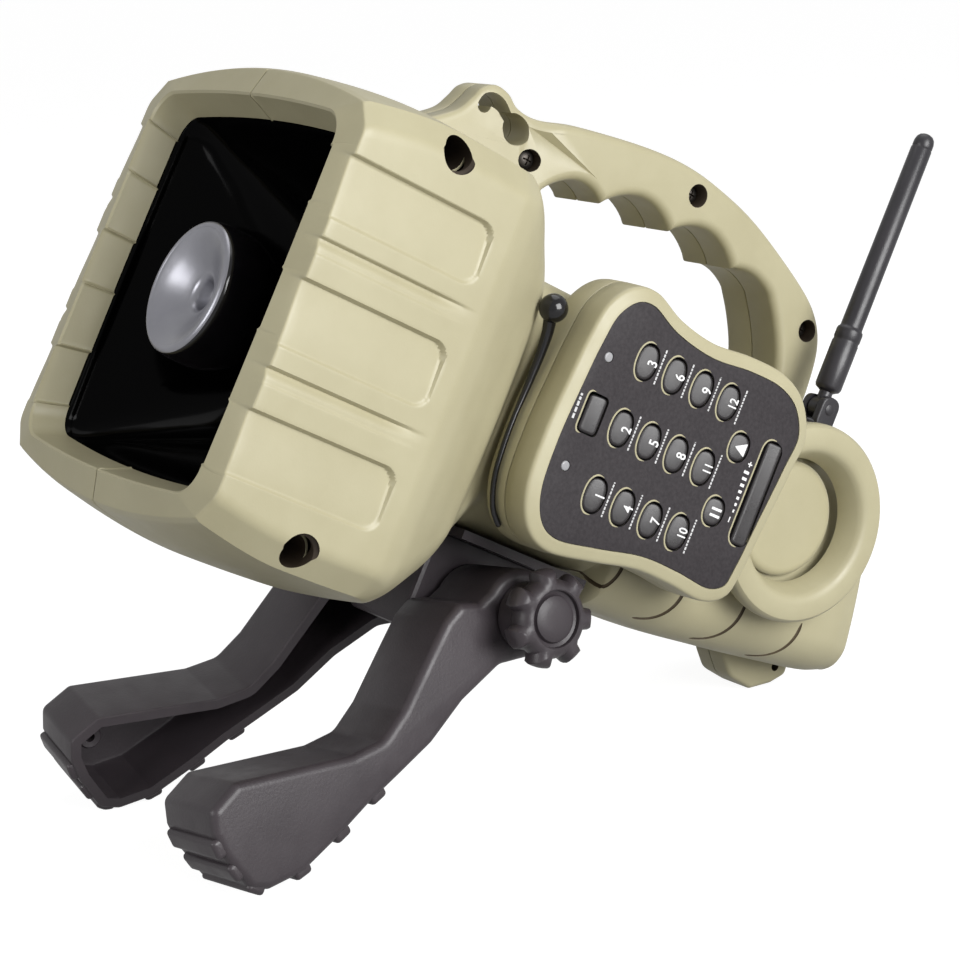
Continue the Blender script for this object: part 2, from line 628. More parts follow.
def finish_housing(side):
    """Adds a housing half's screw posts, heel lug and antenna seat, and cuts its holes and lines."""
    thing = housing_half(side)
    word, axis = SIDES[side]
    joints = [turned("post", [(0, 57.4), (5.4, 57.4), (6.4, 50.0), (6.4, 1.0), (0, 1.0)], KHAKI,
                     (0, HOOD_SCREW[0], s * HOOD_SCREW[1]), axis, 32) for s in (1, -1)]
    joints.append(slab("lug", rounded(LUG, 0, 5), [(SEAM, 0)] + fillet(8.0, 1.6, 4), KHAKI, side))
    if side > 0:
        joints.append(turned("seat", [(0, 37.0), (5.6, 37.0), (6.2, 36.4), (6.2, 30.0), (0, 30.0)], KHAKI,
                             (ANTENNA[0], ANTENNA[1], 0), "Z", 40))
    carve(thing, joints, "UNION", 30)
    cutters = []
    for s in (1, -1):
        y, z = HOOD_SCREW[0], s * HOOD_SCREW[1]
        face = abs(surface_x(thing, side, y, z))
        hole = [(0, 80.0), (6.4, 80.0), (5.5, face + 0.3), (4.75, face - 0.6), (4.6, 14.0), (2.2, 12.0),
                (2.2, -2.0), (0, -2.0)]
        cutters.append(turned("counterbore", hole, HOLE_BROWN, (0, y, z), axis, 40))
    for start in J_STARTS:
        path = [on_surface(thing, side, start + dy, angle, 0.1) for dy, angle in J_SHAPE]
        path = catmull(path, 4, False)
        radii = [0.7 * min(1.0, 0.3 + 0.35 * min(i, len(path) - 1 - i)) for i in range(len(path))]
        cutters.append(tube("line", path, radii, KHAKI_DEEP, 10, hint=(side, 0.31, 0.17)))
    cutters.append(plug("lug_hole", 1.5, 4.0, 12.0, HOLE_BROWN, (0, 253.0, -34.5), axis, 20))
    if side < 0:
        door = box_outline((145.0, 1.5), (58.0, 51.0), 1.2, 3)
        cutters.append(slab("opening", door, ((-30.0, 0), (-45.0, 0)), KHAKI_DEEP))
    carve(thing, cutters, "DIFFERENCE", 30)
    done(thing, "body", "khaki_plastic", f"housing_{word}")


def screw(name, at, head, shank, low, seat, node):
    """A pan-head screw with a cross recess, along X."""
    profile = [(0, seat + 2.6), (head * 0.35, seat + 2.55), (head * 0.7, seat + 2.2),
               (head * 0.95, seat + 1.5), (head, seat + 0.9), (head, seat + 0.3), (shank, seat + 0.3),
               (shank, low + 1.5), (0.2, low)]
    thing = turned(name, profile, SCREW, at, "X", 32)
    cross = []
    for size in ((head * 0.55, 0.28), (0.28, head * 0.55)):
        corners = [(at[1] + a * size[0], at[2] + b * size[1])
                   for a, b in ((-1, -1), (1, -1), (1, 1), (-1, 1))]
        cross.append(slab("cross", corners, ((at[0] + seat + 1.3, 0), (at[0] + seat + 4.0, 0)), HOLE_BROWN))
    carve(thing, cross)
    done(thing, "body", "zinc_plated_steel", node)


# ---------------------------------------------------------------- handle

HANDLE_SCREWS = ((84.9, 75.0), (146.0, 90.0), (207.2, 69.0))


def scallop(start, end, rise, steps):
    """A finger hollow between two cusps, pressed up by its rise."""
    (y0, z0), (y1, z1) = start, end
    return [(y0 + (y1 - y0) * t, z0 + (z1 - z0) * t + rise * math.sin(math.pi * t) ** 0.8)
            for t in (s / steps for s in range(steps))]


def handle_outline():
    """The handle from the side: over the hook and the grip, and back along the four finger hollows."""
    top = catmull([(45.0, 69.4), (52.1, 74.4), (58.4, 79.4), (61.2, 84.0), (63.4, 88.4), (67.6, 91.0),
                   (72.8, 90.4), (77.4, 87.9), (84.2, 87.4), (95.9, 90.8), (120.6, 95.5), (139.2, 97.1),
                   (155.7, 95.6), (173.6, 91.5), (197.1, 82.3), (208.6, 75.6), (215.1, 66.8), (217.6, 54.0),
                   (218.2, 35.4)], 7, False)
    rear = catmull([(205.4, 36.6), (203.8, 48.0), (200.4, 57.4), (194.8, 66.0), (188.6, 73.2)], 5, False)[:-1]
    cusps = [(188.6, 73.2), (170.0, 75.2), (142.0, 76.2), (114.0, 73.6), (92.4, 68.8)]
    hollows = []
    for start, end, rise in zip(cusps, cusps[1:], (2.6, 6.6, 6.6, 5.2)):
        hollows += scallop(start, end, rise, 18)
    front = catmull([cusps[-1], (90.8, 60.0), (90.2, 50.4)], 5, False) + [(87.4, 46.4)]
    root = [(76.0, 57.2), (64.4, 65.6), (54.2, 66.6), (46.6, 65.4)]
    return list(reversed(top + rear + hollows + front + root))


def band(route, half_width, core=0.3):
    """The outline of a channel with round ends along a route, grown from a thin core."""
    pts = [np.array(p) for p in catmull(route, 3, False)]
    left, right = [], []
    for i, here in enumerate(pts):
        along = pts[min(i + 1, len(pts) - 1)] - pts[max(i - 1, 0)]
        across = np.array((-along[1], along[0])) / np.linalg.norm(along) * core
        left.append(tuple(here + across))
        right.append(tuple(here - across))
    head, tail = (math.degrees(math.atan2(d[1], d[0])) for d in (pts[0] - pts[1], pts[-1] - pts[-2]))
    thin = (left + arc(pts[-1], core, tail + 90, tail - 90, 8)[1:-1] + right[::-1]
            + arc(pts[0], core, head + 90, head - 90, 8)[1:-1])
    return inset(thin, core - half_width)


HOOK_CHANNEL = ((65.3, 83.6), (65.9, 85.6), (68.0, 86.5), (70.8, 86.0), (73.6, 84.0), (76.4, 82.2))
HOOK_POCKET = ((77.6, 81.6), 4.7)
GRIP_HALF, HOOK_HALF = 14.0, 8.0


def make_handle(side):
    """One half of the handle, thinned towards the hook at its front, with the hook's opening cut through."""
    word, axis = SIDES[side]
    layers = [(SEAM, 0.3), (0.28, 0.08), (0.55, 0)] + fillet(GRIP_HALF, 3.0, 7)
    thing = slab(f"handle_{word}_shell", handle_outline(), layers, KHAKI, side, 40)
    into = BODY.inverted()
    for v in thing.data.vertices:
        at = into @ v.co
        slim = HOOK_HALF / GRIP_HALF + (1 - HOOK_HALF / GRIP_HALF) * smooth(76.0, 92.0, at.y)
        at.x = side * (SEAM + (abs(at.x) - SEAM) * slim)
        v.co = BODY @ at
    cutters = [slab("channel", band(HOOK_CHANNEL, 2.1), ((-1, 0), (16, 0)), KHAKI, side),
               slab("pocket", arc(*HOOK_POCKET, 0, 360, 36)[:-1], ((-1, 0), (16, 0)), KHAKI, side)]
    for y, z in HANDLE_SCREWS:
        if side > 0:
            hole = [(0, 20.0), (4.0, 20.0), (3.9, 14.3), (3.4, 13.7), (3.3, 8.0), (1.9, 7.0), (1.9, -1.0),
                    (0, -1.0)]
            cutters.append(turned("counterbore", hole, HOLE_BROWN, (0, y, z), axis, 32))
        else:
            cutters.append(plug("hole", 1.8, -1.0, 9.0, HOLE_BROWN, (0, y, z), axis, 20))
    carve(thing, cutters, angle=40)
    done(thing, "body", "khaki_plastic", f"handle_{word}")


# ---------------------------------------------------------------- horn

BELL = ((7.7, 51.2, 52.6, 6.8), (9.4, 51.0, 52.3, 7.0), (12.0, 50.0, 51.4, 7.6), (18.0, 46.0, 47.5, 10.0),
        (30.0, 39.0, 40.5, 17.5), (45.0, 31.4, 32.4, 24.0), (60.0, 25.6, 25.6, 25.5),
        (73.0, 22.9, 22.9, 22.8))


def bell_ring(y, hw, hh, radius, count=112):
    """A rounded rectangle sampled by even steps of angle round its corners and sides."""
    pts = []
    for quarter, (su, sv) in enumerate(((1, 1), (-1, 1), (-1, -1), (1, -1))):
        for s in range(count // 4 - 6):
            a = math.pi / 2 * (quarter + s / (count // 4 - 7))
            pts.append((su * (hw - radius) + radius * math.cos(a), sv * (hh - radius) + radius * math.sin(a)))
        a = pts[-1]
        n_su, n_sv = ((-1, 1), (-1, -1), (1, -1), (1, 1))[quarter]
        turn = math.pi / 2 * (quarter + 1)
        b = (n_su * (hw - radius) + radius * math.cos(turn), n_sv * (hh - radius) + radius * math.sin(turn))
        pts += [(a[0] + (b[0] - a[0]) * s / 7, a[1] + (b[1] - a[1]) * s / 7) for s in range(1, 7)]
    return [(u * (1 - 0.03 * (v / hh) ** 2), y, v * (1 - 0.03 * (u / hw) ** 2)) for u, v in pts]


def make_horn():
    table = np.array(BELL)
    ys = [7.7, 7.9, 8.4, 9.4, 10.6] + list(np.linspace(12, 73, 30))
    inner = []
    for y in ys:
        hw, hh, r = (pchip(table[:, 0], table[:, k], y) for k in (1, 2, 3))
        lip = 0.35 * max(0.0, 1 - (y - 7.7) / 0.7) ** 2
        inner.append(bell_ring(y, hw + lip, hh + lip, min(r, hw, hh)))
    outer = []
    for y in ys[::-1]:
        hw, hh, r = (pchip(table[:, 0], table[:, k], y) for k in (1, 2, 3))
        outer.append(bell_ring(y + (0.0 if y < 72 else 0.2), hw + 2.0, hh + 2.0,
                               min(r + 2.0, hw + 2, hh + 2)))
    bell = loft("horn_bell_shell", inner + outer, HORN_BLACK, 50, around=True)
    done(bell, "body", "black_horn_plastic", "horn_bell")
    pit = catmull([(1.6, 13.0), (3.0, 12.0), (3.9, 10.2), (4.7, 8.4), (5.6, 7.5), (6.8, 7.1), (8.6, 6.3),
                   (11.0, 5.0), (14.0, 3.3), (16.6, 2.15), (17.8, 1.85)], 5, False)
    face = [(0, 13.4)] + pit
    lip = catmull([(17.8, 1.75), (18.7, 1.7), (19.5, 2.3), (20.1, 3.6), (20.45, 6.0), (20.5, 9.0),
                   (20.5, 12.5), (19.9, 15.8), (18.6, 19.0), (16.2, 22.4), (13.0, 26.0), (9.6, 28.8),
                   (7.0, 31.4), (5.6, 34.6), (5.0, 39.0)], 5, False)
    cone = turned("reflex_cone_turned", face + lip[1:] + [(5.0, 60.0), (5.0, 76.6), (0, 76.6)], GLOSS_BLACK,
                  (0, 0, 0), "Y", 96, 50)
    cone.data.materials.append(DISH)
    into, forward = BODY.inverted(), BODY.to_3x3() @ Vector((0, -1, 0))
    for poly in cone.data.polygons:
        at = into @ poly.center
        if at.y < 13.8 and math.hypot(at.x, at.z) < 19.6 and poly.normal.dot(forward) > 0:
            poly.material_index = 1
    done(cone, "body", "black_horn_plastic", "reflex_cone")


# ---------------------------------------------------------------- antenna

def make_antenna():
    x, y, z = ANTENNA
    base = turned("antenna_base_shell", [(0, 0), (5.0, 0), (5.4, 0.4), (5.4, 3.4), (4.9, 4.0), (0, 4.0)],
                  WHIP, (x, y, 37.3), "Z", 48)
    cheeks = []
    for sign in (1, -1):
        cheek = rounded([(-3.8, 38.6), (3.8, 38.6), (3.8, 50.0), (-3.8, 50.0)], 3.6, 8)
        outline = [(y + u, v) for u, v in cheek]
        layers = [(x * sign + a, b) for a, b in [(2.5, 0)] + fillet(4.9, 0.7, 4)]
        cheeks.append(slab("cheek", outline, layers, WHIP, sign))
    carve(base, cheeks, "UNION")
    pin = turned("pin", [(0, 5.3), (1.4, 5.3), (1.9, 5.0), (1.9, -5.0), (1.4, -5.3), (0, -5.3)], WHIP,
                 ANTENNA, "X", 24)
    carve(base, [plug("pin_hole", 1.9, -6, 6, WHIP, ANTENNA, "X", 24)])
    base = merge("antenna_base_shell", [base, pin])
    done(base, "antenna_swivel", "antenna_black", "antenna_base")
    profile = [(0, 94.0), (1.2, 93.9), (2.2, 93.4), (2.9, 92.5), (3.25, 91.2), (3.3, 89.6), (3.15, 89.2),
               (3.4, 88.8), (3.6, 30.0), (3.6, 27.6), (3.75, 27.0), (4.1, 26.7), (4.3, 26.0), (4.3, 23.4),
               (4.1, 23.0), (4.1, 22.4), (4.3, 22.0), (4.3, 7.4), (3.9, 6.4), (3.0, 5.9), (2.2, 5.4),
               (2.2, 2.0), (0, 2.0)]
    whip = turned("antenna_whip_shell", profile, WHIP, ANTENNA, "Z", 56, 40)
    eye = turned("eye", [(1.95, 2.1), (3.1, 2.1), (3.5, 1.8), (3.5, -1.8), (3.1, -2.1), (1.95, -2.1)], WHIP,
                 ANTENNA, "X", 36, ring=True)
    carve(whip, [eye], "UNION", 40)
    carve(whip, [plug("eye_bore", 1.95, -3, 3, WHIP, ANTENNA, "X", 36)], angle=40)
    done(whip, "antenna", "antenna_black", "antenna_whip")


# ---------------------------------------------------------------- legs and knobs

PIVOT = (120.5, -56.3)
SPLAY = math.radians(9.0)
TOE = (60.0, -150.6)


def leg_plane(side):
    at = Vector((-side * PIVOT[1] * math.sin(SPLAY), PIVOT[0], PIVOT[1] * math.cos(SPLAY)))
    return BODY @ Matrix.Translation(at) @ Matrix.Rotation(-side * SPLAY, 4, "Y")


def leg_outline():
    head = arc((0, 0), 13.5, -40, 168, 30)
    shin = [(104.6, -57.6, 2), (98.0, -59.8, 4), (94.8, -66.0, 6), (93.0, -75.0, 9), (89.4, -94.0, 9),
            (85.8, -103.8, 6), (77.6, -110.4, 6), (43.6, -127.4, 3), (38.8, -136.6, 3), (42.0, -142.6, 2),
            (47.6, -147.4, 3), (58.2, -153.4, 3), (64.2, -151.8, 3), (73.0, -145.0, 4), (81.4, -132.4, 6),
            (87.6, -121.8, 5), (94.6, -111.6, 6), (102.5, -99.8, 9), (108.8, -85.6, 9), (118.0, -72.0, 6)]
    return rounded([(u, v, 0) for u, v in head] + [(y - PIVOT[0], z - PIVOT[1], r) for y, z, r in shin], 0, 5)


def sole_ridges():
    places = ((45.6, -144.8, -42), (52.8, -149.2, -30), (60.0, -151.6, 0), (72.4, -144.0, 48),
              (81.4, -131.2, 56), (89.2, -118.2, 54))
    return [(y - PIVOT[0], z - PIVOT[1], slope) for y, z, slope in places]


def make_leg(side):
    word, axis = SIDES[side]
    place = leg_plane(side)
    outline = leg_outline()
    layers = [(9.1, 0.5), (9.5, 0.1), (9.9, 0)] + fillet(35.6, 2.6, 6)
    leg = slab(f"leg_{word}_shell", outline, layers, DARK, side, 30, place)
    bars = []
    for y, z, slope in sole_ridges():
        turn = math.radians(slope)
        bar = [(y + u * math.cos(turn) - v * math.sin(turn), z + u * math.sin(turn) + v * math.cos(turn))
               for u, v in box_outline((0, 0), (5.8, 5.0), 1.4, 4)]
        ends = [(9.7, 0.9), (10.0, 0.35), (10.6, 0)] + fillet(34.9, 1.4, 4)
        bars.append(slab("ridge", bar, ends, DARK, side, 32, place))
    carve(leg, bars, "UNION", 30)
    hollow = ((6, 0), (31.4, 0), (32.3, 0.5), (32.6, 1.4))
    cutters = [slab("hollow", inset(outline, 3.2), hollow, DARK, side, 30, place),
               plug("bore", 3.4, 27, 40, DARK, (0, 0, 0), axis, 32, place)]
    low = np.array(TOE)
    run, down = np.array((math.cos(PITCH), math.sin(PITCH))), np.array((math.sin(PITCH), -math.cos(PITCH)))
    floor = [low - 90 * run, low + 120 * run, low + 120 * run + 40 * down, low - 90 * run + 40 * down]
    cutters.append(loft("floor_plane", [[(x, p[0], p[1]) for p in floor] for x in (-120, 120)], DARK))
    carve(leg, cutters, "DIFFERENCE", 30)
    bosses = []
    for (y, z), r in (((50.5, -137.0), 3.6), ((101.0, -76.0), 2.6)):
        profile = [(0, 24.0), (1.5, 24.0), (1.5, 20.4), (r - 0.5, 20.0), (r, 20.5), (r, 33.4), (0, 33.4)]
        bosses.append(turned("boss", profile, DARK, (0, y - PIVOT[0], z - PIVOT[1]), axis, 28, 32, place))
    carve(leg, bosses, "UNION", 30)
    done(leg, f"leg_{word}", "black_brown_plastic", f"leg_{word}")


def knob_outline(steps=14):
    """A round knob whose seven blocky lugs have rounded shoulders."""
    out, count = [], 7
    for lug in range(count):
        for s in range(steps * 2):
            t = s / (steps * 2)
            rise = smooth(0.0, 0.10, t) * (1 - smooth(0.56, 0.66, t))
            angle = 2 * math.pi * (lug + t) / count
            radius = 11.7 + 2.7 * rise
            out.append((radius * math.cos(angle), radius * math.sin(angle)))
    return out


def make_knob(side):
    word, axis = SIDES[side]
    place = leg_plane(side)
    layers = [(41.6, 2.8), (42.0, 2.0), (43.4, 0.9), (45.6, 0.1), (46.6, 0), (48.2, 0.12), (49.2, 0.5),
              (50.0, 1.0), (50.7, 1.7), (51.1, 2.5), (51.2, 3.2)]
    knob = slab(f"knob_{word}_shell", knob_outline(), layers, DARK, side, 34, place)
    hub = [(0, 36.0), (9.6, 36.0), (10.0, 36.4), (10.0, 43.0), (0, 43.0)]
    carve(knob, [turned("hub", hub, DARK, (0, 0, 0), axis, 48, 32, place)], "UNION", 34)
    dish = [(0, 56), (9.0, 56), (8.9, 51.4), (8.3, 50.9), (8.1, 49.6), (7.1, 49.2), (6.8, 49.6), (6.6, 50.2),
            (5.5, 50.75), (3.8, 51.05), (2.0, 51.18), (0, 51.2)]
    cutters = [turned("dish", dish, DARK, (0, 0, 0), axis, 64, 32, place),
               plug("bore", 3.3, 30.0, 45.2, DARK, (0, 0, 0), axis, 32, place)]
    carve(knob, cutters, "DIFFERENCE", 34)
    done(knob, f"knob_{word}", "black_brown_plastic", f"leg_knob_{word}")


# ---------------------------------------------------------------- remote control

REMOTE = [(92.2, 15.0), (93.4, 29.0), (95.6, 40.0), (102.0, 47.8), (111.0, 49.6), (123.0, 45.6),
          (137.0, 44.0), (152.0, 45.6), (166.0, 45.4), (176.5, 41.0), (183.2, 31.0), (182.4, 18.0),
          (180.4, 0.0), (179.0, -13.0), (176.6, -22.5), (168.0, -27.0), (154.0, -26.2), (140.0, -26.2),
          (124.0, -29.2), (108.0, -31.4), (98.2, -27.4), (92.6, -17.0), (91.4, -1.0)]
LOOP = (205.5, 8.5)
POWER_KEY = ((104.1, 9.6), (7.8, 12.2), 2.0)
ROCKER = ((171.4, 9.0), (8.0, 33.4), 4.0)
LEDS = ((101.9, 26.2), (101.8, -6.8))
PRINTED = ((60.85, 0), (60.96, 0))
RAISED = ((59.5, 0), (59.76, 0))
KEY_SLOPE = 0.36


def key_places():
    places = []
    for number in range(1, 13):
        row, column = divmod(number - 1, 3)
        places.append((f"key_{number}", (115.4 + 11.1 * row, -11.0 + 20.4 * column), (8.0, 11.2),
                       str(number)))
    size = (8.0, 9.2)
    return places + [("play_key", (158.7, 19.3), size, "play"), ("pause_key", (158.7, -1.0), size, "pause")]


def openings(grow):
    out = [oval(c, (s[0] + 2 * grow, s[1] + 2 * grow)) for _, c, s, _ in key_places()]
    for c, s, r in (POWER_KEY, ROCKER):
        out.append(box_outline(c, (s[0] + 2 * grow, s[1] + 2 * grow), r + grow, 7))
    return out


def collar(outline, centre, size):
    """A raised lip round the horn side of a key opening, open towards the far side."""
    lip, reach = 0.55, centre[0] + 0.10 * size[0]
    outside = inset(outline, -lip)
    count = len(outline)
    inside = [i for i in range(count) if outline[i][0] < reach]
    first = next(i for i in inside if (i - 1) % count not in inside)
    order = [(first + k) % count for k in range(len(inside))]
    ends = [min(1.0, 0.25 + 0.3 * min(k, len(order) - 1 - k)) for k in range(len(order))]
    outer = [tuple(np.array(outline[i]) + (np.array(outside[i]) - np.array(outline[i])) * w)
             for i, w in zip(order, ends)]
    return outer + [tuple(outline[i]) for i in reversed(order)]


def make_collars():
    """The cream lips that stand through the label beside each key."""
    places = [(c, s) for _, c, s, _ in key_places()] + [(c, s) for c, s, _ in (POWER_KEY, ROCKER)]
    lips = []
    for outline, (centre, size) in zip(openings(0.02), places):
        lips.append(slab("lip", collar(outline, centre, size), ((60.0, 0), (60.9, 0), (61.0, 0.08)), KHAKI))
    done(merge("key_collars", lips), "remote", "khaki_plastic")


def make_remote_shells():
    outline = catmull(REMOTE, 9)
    rim = [(57.0, 0.22), (58.6, 0.3), (59.3, 0.42), (59.75, 0.7), (60.05, 1.15), (60.28, 1.9), (60.7, 3.4),
           (61.0, 4.4), (61.0, 5.2)]
    sides = [(50.12, 0.45), (50.25, 0.12), (50.6, 0), (54.0, 0.1)]
    front = slab("remote_front_shell", outline, sides + rim, KHAKI, 1, 30)
    cutters = [slab("hollow", inset(outline, 2.2), ((48, 0), (56.6, 0.3), (57.6, 1.2)), KHAKI),
               slab("recess", inset(outline, 4.5), ((60.2, 0), (63, 0)), KHAKI)]
    for opening in openings(0.0):
        cutters.append(slab("key_hole", opening, ((54, 0), (63, 0)), KEY))
    for y, z in LEDS:
        cutters.append(plug("led_hole", 1.6, 54, 64, KHAKI, (0, y, z), "X", 24))
    carve(front, cutters, angle=30)
    done(front, "remote", "khaki_plastic", "remote_front")

    layers = [(38.8, 2.6), (38.95, 1.9), (39.4, 1.2), (40.2, 0.6), (41.4, 0.2), (43.0, 0)]
    layers += [(49.4, 0), (49.75, 0.12), (49.88, 0.45)]
    back = slab("remote_back_shell", outline, layers, KHAKI, 1, 30)
    carve(back, [slab("hollow", inset(outline, 2.2), ((41.0, 0.6), (41.6, 0.1), (52, 0)), KHAKI)], angle=30)
    profile = [(28.8, 49.4), (30.2, 49.05), (31.1, 48.1), (31.45, 46.8), (31.5, 45.0), (31.3, 43.4),
               (30.6, 41.8), (29.4, 40.9), (27.8, 40.6), (20.0, 40.6), (19.6, 41.0), (19.9, 42.6),
               (20.9, 45.0), (22.0, 47.2), (22.9, 48.5), (24.0, 49.2), (25.4, 49.4)]
    loop = turned("loop", profile, KHAKI, (0, *LOOP), "X", 96, ring=True)
    carve(loop, [slab("loop_end", inset(outline, 1.1), ((30, 0), (60, 0)), KHAKI)])
    carve(back, [loop], "UNION", 30)
    channel = box_outline((152.5, -18.0), (30.2, 44.0), 0.5, 2)
    cell = box_outline((153.0, -9.5), (24.0, 19.0), 1.0, 3)
    carve(back, [slab("door_channel", channel, ((30, 0), (40.4, 0)), KHAKI),
                 slab("cell_opening", cell, ((30, 0), (42.8, 0)), KHAKI)], angle=30)
    done(back, "remote", "khaki_plastic", "remote_back")
    door = slab("remote_door_shell", box_outline((152.5, -10.2), (29.8, 28.1), 1.0, 4),
                [(38.7, 0.4), (38.85, 0.1), (39.1, 0), (40.1, 0)], KHAKI)
    grips = [slab("grip", box_outline((152.5, -18.0 + 1.6 * i), (12.0, 0.7), 0.3, 3),
                  ((38.0, -0.1), (39.1, 0)), KHAKI) for i in range(5)]
    carve(door, grips)
    done(door, "remote_door", "khaki_plastic", "remote_battery_door")


def dashes(places):
    """Rows of small printed dashes that stand for captions."""
    bits = []
    for y, z, length, seed, thick in places:
        at = z - length / 2
        while at < z + length / 2:
            seed = (seed * 37 + 11) % 101
            end = min(at + thick + 0.9 * thick * (seed / 101.0), z + length / 2)
            mark = box_outline((y, (at + end) / 2), (thick, end - at), 0.12, 2)
            bits.append(slab("dash", mark, PRINTED, PRINT))
            at = end + 0.5 * thick
    return bits


def plus(y, z, size=1.7, thick=0.4, bar_only=False):
    """A printed plus, or the bar of a minus."""
    shapes = [((y, z), (thick, size), 0.1)]
    if not bar_only:
        shapes += [((y - s * (size + thick) / 4, z), ((size - thick) / 2, thick), 0.05) for s in (1, -1)]
    return [slab("mark", box_outline(*shape, 2), PRINTED, WHITE) for shape in shapes]


def make_label():
    outline = inset(catmull(REMOTE, 9), 4.65)
    layers = ((60.35, 0), (60.75, 0), (60.87, 0.06), (60.9, 0.18))
    label = slab("remote_label_sheet", outline, layers, LABEL, 1, 30)
    cutters = [slab("label_hole", hole, ((58, 0), (63, 0)), KEY) for hole in openings(-0.06)]
    for y, z in LEDS:
        cutters.append(plug("led_hole", 1.6, 54, 64, LABEL, (0, y, z), "X", 24))
    carve(label, cutters, angle=30)
    rows = []
    for number, (_, (y, z), _, _) in enumerate(key_places()[:12]):
        rows.append((y + 4.9, z + 0.4, 10.6, number + 3, 0.56))
    rows.append((97.8, 10.0, 7.5, 5, 0.8))
    bars = [slab("bar", box_outline((165.5 - 0.12 * i, 1.6 + 2.0 * i), (0.6 + 0.24 * i, 0.9), 0.1, 2),
                 PRINTED, WHITE) for i in range(7)]
    marks = dashes(rows) + bars + plus(165.0, 16.2) + plus(165.2, -1.2, bar_only=True)
    label = merge("remote_label_sheet", [label] + marks)
    done(label, "remote", "charcoal_label", "remote_label")


def glyph(text, size, at, slope):
    """A numeral raised on a key: it reads along +Z with its top towards -Y."""
    curve = bpy.data.curves.new("glyph", "FONT")
    curve.body = text
    curve.size = size
    curve.align_x, curve.align_y = "CENTER", "CENTER"
    curve.offset = 0.012 * size
    curve.extrude = 0.1
    curve.resolution_u = 5
    holder = bpy.data.objects.new("glyph", curve)
    bpy.context.scene.collection.objects.link(holder)
    graph = bpy.context.evaluated_depsgraph_get()
    graph.update()
    mesh = bpy.data.meshes.new_from_object(holder.evaluated_get(graph))
    bpy.data.objects.remove(holder, do_unlink=True)
    faces = [tuple(p.vertices) for p in mesh.polygons]
    verts = [(at[0] + v.co.z - slope * v.co.y, at[1] - v.co.y, at[2] + v.co.x) for v in mesh.vertices]
    bpy.data.meshes.remove(mesh)
    return add("glyph", verts, faces, WHITE)


def key_cap(name, outline, centre, layers, slope):
    """A key whose top leans: low towards the horn, almost flush on the far side."""
    rings = []
    for x, shrink, lean in layers:
        ring = inset(outline, shrink) if shrink else outline
        rings.append([(x + lean * slope * (y - centre[0]), y, z) for y, z in ring])
    return loft(name, rings, KEY, 30)


KEY_GAPS = {"power_key": 1.7, "volume_rocker": 2.3}


def lean_sign(sign, middle):
    """Lays a flat sign on a key's leaning top."""
    for v in sign.data.vertices:
        at = BODY.inverted() @ v.co
        at.x += KEY_SLOPE * (at.y - middle)
        v.co = BODY @ at


def key_signs(mark, centre):
    """The raised white numeral, triangle or bars on a key."""
    y, z = centre[0] + 1.6, centre[1]
    if mark == "play":
        arrow = rounded([(y - 2.2, z), (y + 1.2, z - 2.1), (y + 1.2, z + 2.1)], 0.2, 2)
        signs = [slab("sign", arrow, RAISED, WHITE)]
    elif mark == "pause":
        signs = [slab("sign", box_outline((y - 0.3, z + s * 1.0), (3.0, 0.8), 0.1, 2), RAISED, WHITE)
                 for s in (1, -1)]
    else:
        y += 0.6
        at = (59.7 + KEY_SLOPE * (y - centre[0]), y, z + 0.3)
        return [glyph(mark, 3.9 if len(mark) == 1 else 3.5, at, KEY_SLOPE)]
    for sign in signs:
        lean_sign(sign, centre[0])
    return signs


def make_keys():
    for name, centre, size, mark in key_places():
        outline = oval((centre[0] + 0.55, centre[1]), (size[0] - 1.8, size[1] - 0.9))
        layers = [(55.8, 0, 0), (59.1, 0, 1), (59.4, 0.12, 1), (59.6, 0.45, 1), (59.68, 1.0, 1)]
        cap = key_cap(f"{name}_cap", outline, centre, layers, KEY_SLOPE)
        cap = merge(f"{name}_cap", [cap] + key_signs(mark, centre))
        done(cap, name, "key_rubber", name)
    for name, (centre, size, radius) in (("power_key", POWER_KEY), ("volume_rocker", ROCKER)):
        gap = KEY_GAPS[name]
        narrow = (centre[0] + gap / 2, centre[1])
        corner = min(radius, size[0] / 2 - gap) - 0.35
        outline = box_outline(narrow, (size[0] - 0.7 - gap, size[1] - 0.9), corner, 7)
        layers = [(55.8, 0, 0), (59.1, 0, 1), (59.45, 0.12, 1), (59.65, 0.45, 1), (59.7, 0.9, 1)]
        cap = key_cap(f"{name}_cap", outline, centre, layers, 0.30)
        done(cap, name, "key_rubber", name)
    for index, (y, z) in enumerate(LEDS):
        profile = [(0, 60.98), (0.8, 60.97), (1.2, 60.93), (1.42, 60.8), (1.45, 60.5), (1.45, 54.2),
                   (0, 54.2)]
        lens = turned(f"led_{index + 1}_lens", profile, LED, (0, y, z), "X", 28, 60)
        done(lens, "remote", "led_lens", f"led_{index + 1}")


def make_remote_whip():
    """The remote's short rubber aerial: a ball at its top and a thin strand along the remote's front edge."""
    ball = (50.0, 85.6, 33.2)
    profile = [(4.2 * math.sin(a), 4.2 * math.cos(a)) for a in np.linspace(0, math.pi, 25)]
    head = turned("ball", profile, GLOSS_BLACK, ball, "Z", 40, 60)
    route = catmull([(48.6, 86.6, 31.0), (47.2, 88.8, 26.2), (46.4, 89.8, 19.0), (46.0, 90.0, 10.0),
                     (46.0, 89.7, 1.0), (46.0, 90.0, -8.0), (46.0, 91.2, -17.0), (46.0, 94.4, -24.8),
                     (46.2, 98.8, -29.2)], 8, False)
    radii = [2.0 - 1.15 * min(1.0, i / 30.0) for i in range(len(route))]
    radii[-1] = 0.5
    strand = tube("strand", route, radii, GLOSS_BLACK, 20)
    whip = carve(head, [strand], "UNION", 50)
    whip.name = "remote_whip"
    done(whip, "remote", "gloss_black_rubber", "remote_antenna")


